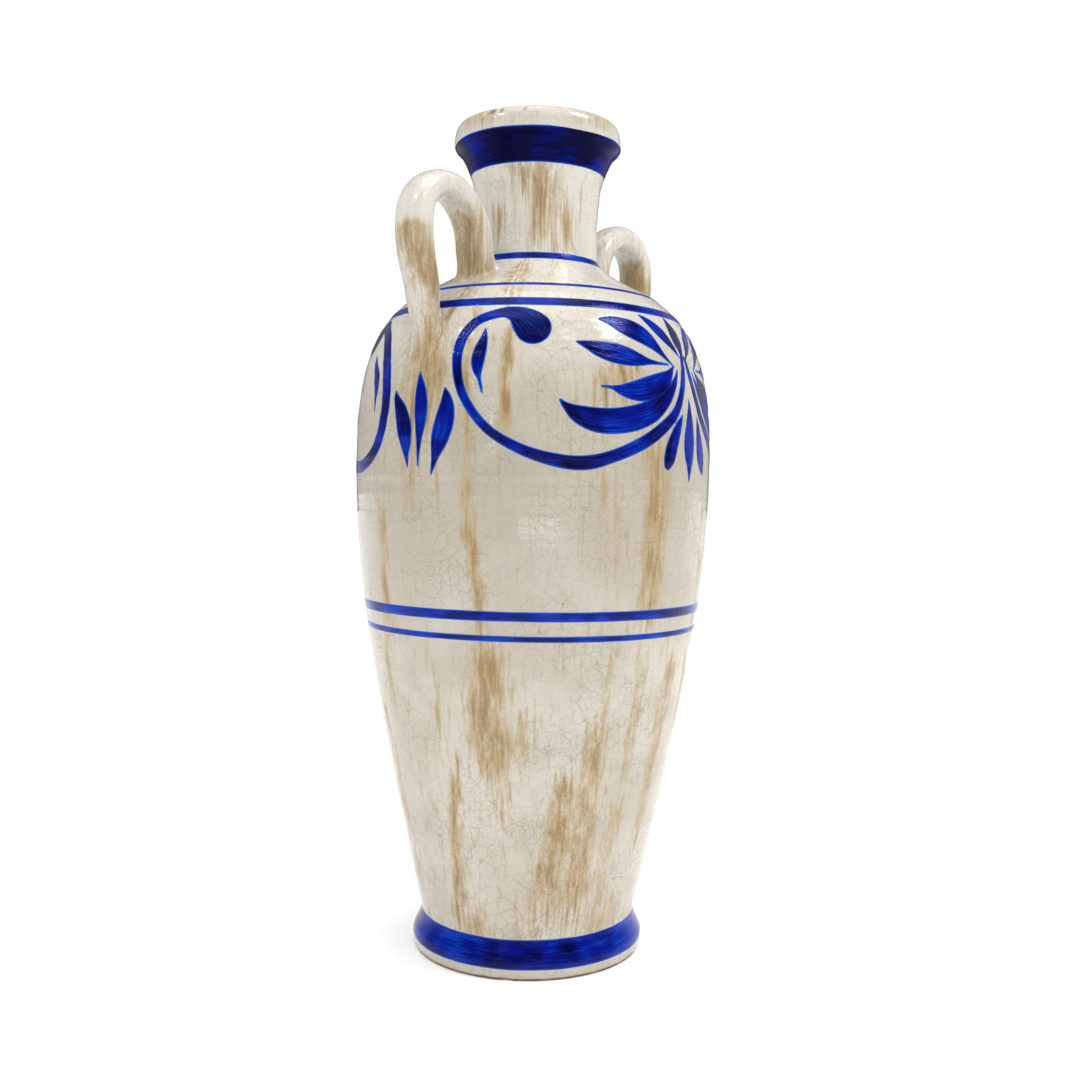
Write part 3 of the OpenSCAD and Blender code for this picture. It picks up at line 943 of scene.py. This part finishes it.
SEPALS = (
    ((4.9, 290, 0.3), (7.3, 284, 2.4), (9, 279, 3.4), (10.5, 274, 4.0), (11.7, 268.5, 4.0),
     (12.6, 264.8, 2.6)),
    ((0.5, 298.5, 0.3), (0.5, 293, 1.6), (0.7, 286, 3.4), (1.1, 278, 4.8), (1.2, 271, 4.5),
     (1, 264.5, 2.4), (1.2, 257, 0.4)),
    ((-4.8, 290, 0.3), (-5.4, 284, 2.0), (-6.3, 277, 3.7), (-7.4, 270, 4.6), (-8.5, 265, 3.3),
     (-9.7, 260.5, 0.4)),
)
# The three leaves under a handle: a is degrees from the handle's axis
TRIPLET = (
    ((-9.7, 299.5, 0.3), (-8.4, 294.5, 2.3), (-6.5, 289, 3.9), (-5, 282, 4.8), (-4.1, 275, 3.8),
     (-3.6, 268.5, 1.8), (-3, 261.5, 0.3)),
    ((0.2, 308, 0.3), (0.8, 302, 2.2), (1.4, 296, 3.4), (1.7, 289, 3.7), (1.6, 281, 2.7),
     (1.3, 273, 1.3), (1, 262, 0.3)),
    ((9.8, 299.8, 0.3), (10.6, 294, 2.7), (10.6, 288, 4.3), (9.8, 281.5, 5.0), (8.6, 274.5, 4.3),
     (7.3, 266.5, 2.0), (6, 258, 0.3)),
)
GRID = 0.55


def smoothed(stroke, per_span=9):
    """A stroke's control points as a smooth dense chain."""
    points = np.array(stroke, float)
    padded = np.concatenate([[2 * points[0] - points[1]], points, [2 * points[-1] - points[-2]]])
    dense = []
    t = np.linspace(0, 1, per_span, endpoint=False)[:, None]
    for a, b, c, d in zip(padded, padded[1:], padded[2:], padded[3:]):
        dense.append(0.5 * (2 * b + (c - a) * t + (2 * a - 5 * b + 4 * c - d) * t ** 2
                            + (3 * b - a - 3 * c + d) * t ** 3))
    dense = np.concatenate(dense + [points[-1:]])
    dense[:, 2] = np.maximum(dense[:, 2] * 1.07 + 0.2, 0.3)
    return dense


def brush(field, along, across, ident, pool, az_grid, s_grid, radius, stroke, number):
    """Lays one stroke into the field, which holds the depth inside the nearest stroke."""
    az, z, half = smoothed(stroke).T
    s = s_at(z)
    margin = half.max() + 2
    turn = np.degrees(margin / radius.min())
    rows = np.where((s_grid > s.min() - margin) & (s_grid < s.max() + margin))[0]
    cols = np.where((az_grid > az.min() - turn) & (az_grid < az.max() + turn))[0]
    window = np.ix_(rows, cols)
    r = radius[rows][:, None]
    best = np.full((len(rows), len(cols)), -1e9)
    best_along, best_across = np.zeros_like(best), np.zeros_like(best)
    run = 0.0
    for k in range(len(az) - 1):
        px = np.radians(az_grid[cols][None, :] - az[k]) * r
        py = s_grid[rows][:, None] - s[k] + 0 * px
        dx = np.radians(az[k + 1] - az[k]) * r + 0 * px
        dy = s[k + 1] - s[k]
        span = dx * dx + dy * dy
        t = np.clip((px * dx + py * dy) / span, 0, 1)
        gap = np.hypot(px - t * dx, py - t * dy)
        depth = half[k] + (half[k + 1] - half[k]) * t - gap
        side = np.sign(px * dy - py * dx)
        better = depth > best
        best = np.where(better, depth, best)
        length = np.sqrt(span)
        best_along = np.where(better, run + t * length, best_along)
        best_across = np.where(better, side * gap, best_across)
        run += float(np.hypot(np.radians(az[k + 1] - az[k]) * radius.mean(), dy))
    over = best > field[window]
    blunt = float(soft_step(2, 6, half[0]))
    for store, value in ((field, best), (along, best_along), (across, best_across),
                         (ident, np.full_like(best, number)),
                         (pool, blunt * np.exp(-best_along / 22))):
        store[window] = np.where(over, value, store[window])


def skin(depth, *values):
    """The covered part of a grid as quads. Returns row, column, depth, values and faces.

    A cell that the edge crosses gets its vertex on the edge, and a covered one in its
    middle, so the outline stays smooth between grid points."""
    inside = depth > 0
    rows, cols = depth.shape
    total = np.zeros((rows - 1, cols - 1))
    sum_row, sum_col = np.zeros_like(total), np.zeros_like(total)
    i, j = np.mgrid[0:rows - 1, 0:cols - 1].astype(float)
    corners = ((0, 0), (0, 1), (1, 1), (1, 0))
    for (a, b), (c, d) in zip(corners, corners[1:] + corners[:1]):
        d0 = depth[a:rows - 1 + a, b:cols - 1 + b]
        d1 = depth[c:rows - 1 + c, d:cols - 1 + d]
        crosses = (d0 > 0) != (d1 > 0)
        t = np.where(crosses, d0 / np.where(crosses, d0 - d1, 1), 0)
        total += crosses
        sum_row += crosses * (i + a + (c - a) * t)
        sum_col += crosses * (j + b + (d - b) * t)
    full = inside[:-1, :-1] & inside[:-1, 1:] & inside[1:, :-1] & inside[1:, 1:]
    used = full | (total > 0)
    row = np.where(total > 0, sum_row / np.maximum(total, 1), i + 0.5)
    col = np.where(total > 0, sum_col / np.maximum(total, 1), j + 0.5)

    def middle(grid):
        return (grid[:-1, :-1] + grid[:-1, 1:] + grid[1:, :-1] + grid[1:, 1:]) / 4

    mid_depth = np.where(total > 0, 0, middle(depth))
    index = np.full(used.shape, -1)
    index[used] = np.arange(used.sum())
    n, m = np.where(inside[1:-1, 1:-1])
    quads = np.stack([index[n, m], index[n, m + 1], index[n + 1, m + 1], index[n + 1, m]], 1)
    picked = [grid[:-1, :-1][used] for grid in values]
    return row[used], col[used], mid_depth[used], picked, quads


def closed_skin(quads, count):
    """Faces of a skin with an underside and a rim, for count top vertices."""
    edges = np.concatenate([quads[:, [k, (k + 1) % 4]] for k in range(4)])
    key = np.sort(edges, axis=1)
    _, first, times = np.unique(key, axis=0, return_index=True, return_counts=True)
    border = edges[first[times == 1]]
    rim = np.stack([border[:, 1], border[:, 0], border[:, 0] + count, border[:, 1] + count], 1)
    return quads.tolist() + (quads[:, ::-1] + count).tolist() + rim.tolist()


def make_painting(name, strokes, az_low, az_high):
    """Strokes of (az, z, half width) as one raised skin: where two meet, they run together."""
    lowest = min(p[1] - p[2] for stroke in strokes for p in stroke) - 3
    highest = max(p[1] + p[2] for stroke in strokes for p in stroke) + 3
    s_grid = np.arange(s_at(lowest), s_at(highest), GRID)
    az_grid = np.arange(az_low, az_high, math.degrees(GRID / BELLY_R))
    radius = outline_at(s_grid)[0]
    shape = (len(s_grid), len(az_grid))
    field, along, across, ident, pool = (np.full(shape, -1e9), *np.zeros((4, *shape)))
    for number, stroke in enumerate(strokes):
        brush(field, along, across, ident, pool, az_grid, s_grid, radius, stroke, number)
    field = np.maximum(field, -3)
    row, col, depth, (along, across, ident, pool), quads = skin(field, along, across,
                                                                ident, pool)
    s = np.interp(row, np.arange(len(s_grid)), s_grid)
    az = np.interp(col, np.arange(len(az_grid)), az_grid)
    top, under = on_wall(az, s, relief(depth)), on_wall(az, s, -SINK)
    stroke = np.stack([along, across, ident], -1)
    make_piece(name, np.concatenate([top, under]), closed_skin(quads, len(top)),
               COBALT_BRUSHED, (),
               {"edge": np.tile(depth, 2), "stroke": np.tile(stroke, (2, 1)),
                "pool": np.tile(pool, 2)}, crease=50)


def set_on(strokes, axis, way, stretch=1.0, tremor=0):
    """Strokes round an axis: way 1 runs towards growing azimuth and -1 the other way."""
    rng = np.random.default_rng(100 + tremor)
    moved = []
    for stroke in strokes:
        shift = rng.uniform(-0.35, 0.35, 2) if tremor else (0, 0)
        moved.append([(axis + way * a * stretch + shift[0], z + shift[1], half)
                      for a, z, half in stroke])
    return moved


def make_ornament():
    """Palmettes front and back between pairs of scrolls, and leaves under each handle."""
    palmette = [FROND, *PETALS]
    front = (set_on([SCROLL, SCROLL_LEAF, *palmette, CENTRE_PETAL, *SEPALS], FRONT_AXIS, -1)
             + set_on([SCROLL, SCROLL_LEAF, *palmette], FRONT_AXIS, 1, 0.9, 1))
    back = (set_on([SCROLL_TWO, SCROLL_TWO_LEAF, *palmette, CENTRE_PETAL, *SEPALS],
                   BACK_AXIS, 1, 0.993, 2)
            + set_on([SCROLL_TWO, SCROLL_TWO_LEAF, *palmette], BACK_AXIS, -1, 0.985, 3))
    make_painting("ornament_front", front, 5, 172)
    make_painting("ornament_back", back, 184, 353)
    make_painting("leaves_left", set_on(TRIPLET, LEFT_LEAVES, 1), -13, 15)
    make_painting("leaves_right", set_on(TRIPLET, RIGHT_HANDLE, 1, 1.0, 4), 162, 192)


# ---------------- studio

CAMERA_AZIMUTH = -51.35
CAMERA_DISTANCE = 0.670
CAMERA_HEIGHT = 0.2456
CAMERA_ASIDE = 0.0043
CAMERA_PITCH = -1.856
CAMERA_ROLL = 0.84
LENS = 40.1
SENSOR = 36
FLOOR_SIDE = 24.0
FLOOR_GAP = 0.0002
# How bright the white room is in the glaze's reflections, against 1 as the backdrop
ROOM_IN_GLOSS = 0.12
# Lights: name, azimuth from the camera's side, elevation, distance, size and radiance
LIGHTS = (
    ("right_softbox", 70, 53, 1.3, (0.36, 0.30), 20),
    ("left_softbox", -56, 47, 1.3, (0.10, 0.06), 125),
    ("high_softbox", 27, 47, 1.4, (0.24, 0.24), 4),
    ("near_window", -24, 8, 1.6, (0.14, 0.2), 4),
    ("far_window", 5, -9.5, 1.2, (0.5, 0.03), 6),
    ("overhead", 0, 84, 1.2, (0.9, 0.9), 1.6),
    ("back_left", -136, 8, 1.5, (1.0, 1.4), 0.3),
    ("back_right", 134, 8, 1.5, (1.0, 1.4), 0.5),
)


def make_camera():
    data = bpy.data.cameras.new("camera")
    data.lens, data.sensor_width = LENS, SENSOR
    camera = new_object("camera", data)
    a = math.radians(CAMERA_AZIMUTH)
    back = Vector((math.sin(a), -math.cos(a), 0)) * CAMERA_DISTANCE
    aside = Vector((math.cos(a), math.sin(a), 0)) * CAMERA_ASIDE
    turn = (Matrix.Rotation(a, 4, "Z") @ Matrix.Rotation(math.radians(90 + CAMERA_PITCH), 4, "X")
            @ Matrix.Rotation(math.radians(CAMERA_ROLL), 4, "Z"))
    camera.matrix_world = Matrix.Translation(back + aside + Vector((0, 0, CAMERA_HEIGHT))) @ turn
    bpy.context.scene.camera = camera


def softbox(name, azimuth, elevation, distance, size, radiance):
    """An area light that faces the jar, placed by angles seen from the camera's side."""
    a, e = math.radians(CAMERA_AZIMUTH + azimuth), math.radians(elevation)
    toward = Vector((math.sin(a) * math.cos(e), -math.cos(a) * math.cos(e), math.sin(e)))
    data = bpy.data.lights.new(name, "AREA")
    data.shape, data.size, data.size_y = "RECTANGLE", *size
    data.energy = radiance * math.pi * size[0] * size[1]
    light = new_object(name, data)
    light.location = Vector((0, 0, 0.26)) + toward * distance
    light.rotation_euler = toward.to_track_quat("Z", "Y").to_euler()


def make_floor():
    """A pale floor that runs far behind the jar, so that no horizon shows."""
    mesh = bpy.data.meshes.new("floor")
    half = FLOOR_SIDE / 2
    mesh.from_pydata([(-half, -half, 0), (half, -half, 0), (half, half, 0), (-half, half, 0)],
                     [], [(0, 1, 2, 3)])
    shader = Shader("pale_floor")
    mottle = shader.noise(shader.here(), 4.0)
    colour = shader.blend(mottle, (0.97, 0.968, 0.965), (0.99, 0.988, 0.985))
    shader.coat({"Base Color": colour, "Roughness": 0.9, "Specular IOR Level": 0.0,
                 "Emission Color": (1, 1, 1, 1), "Emission Strength": 0.04})
    mesh.materials.append(shader.material)
    floor = new_object("floor", mesh)
    floor.location.z = -FLOOR_GAP


def make_studio():
    scene = bpy.context.scene
    scene.view_settings.view_transform = "Standard"
    scene.view_settings.look = "None"
    world = bpy.data.worlds.new("white_room")
    world.use_nodes = True
    nodes, links = world.node_tree.nodes, world.node_tree.links
    background = nodes["Background"]
    background.inputs["Color"].default_value = (1, 1, 1, 1)
    rays = nodes.new("ShaderNodeLightPath")
    dim = nodes.new("ShaderNodeMapRange")
    dim.inputs["To Min"].default_value = 1.0
    dim.inputs["To Max"].default_value = ROOM_IN_GLOSS
    links.new(rays.outputs["Is Glossy Ray"], dim.inputs["Value"])
    links.new(dim.outputs["Result"], background.inputs["Strength"])
    scene.world = world
    for light in LIGHTS:
        softbox(*light)
    make_floor()


make_camera()
make_studio()
make_foot()
make_lower_body()
make_upper_body()
make_neck()
make_lip()
make_coils()
make_handle("left", LEFT_HANDLE)
make_handle("right", RIGHT_HANDLE)
make_bands()
make_ornament()
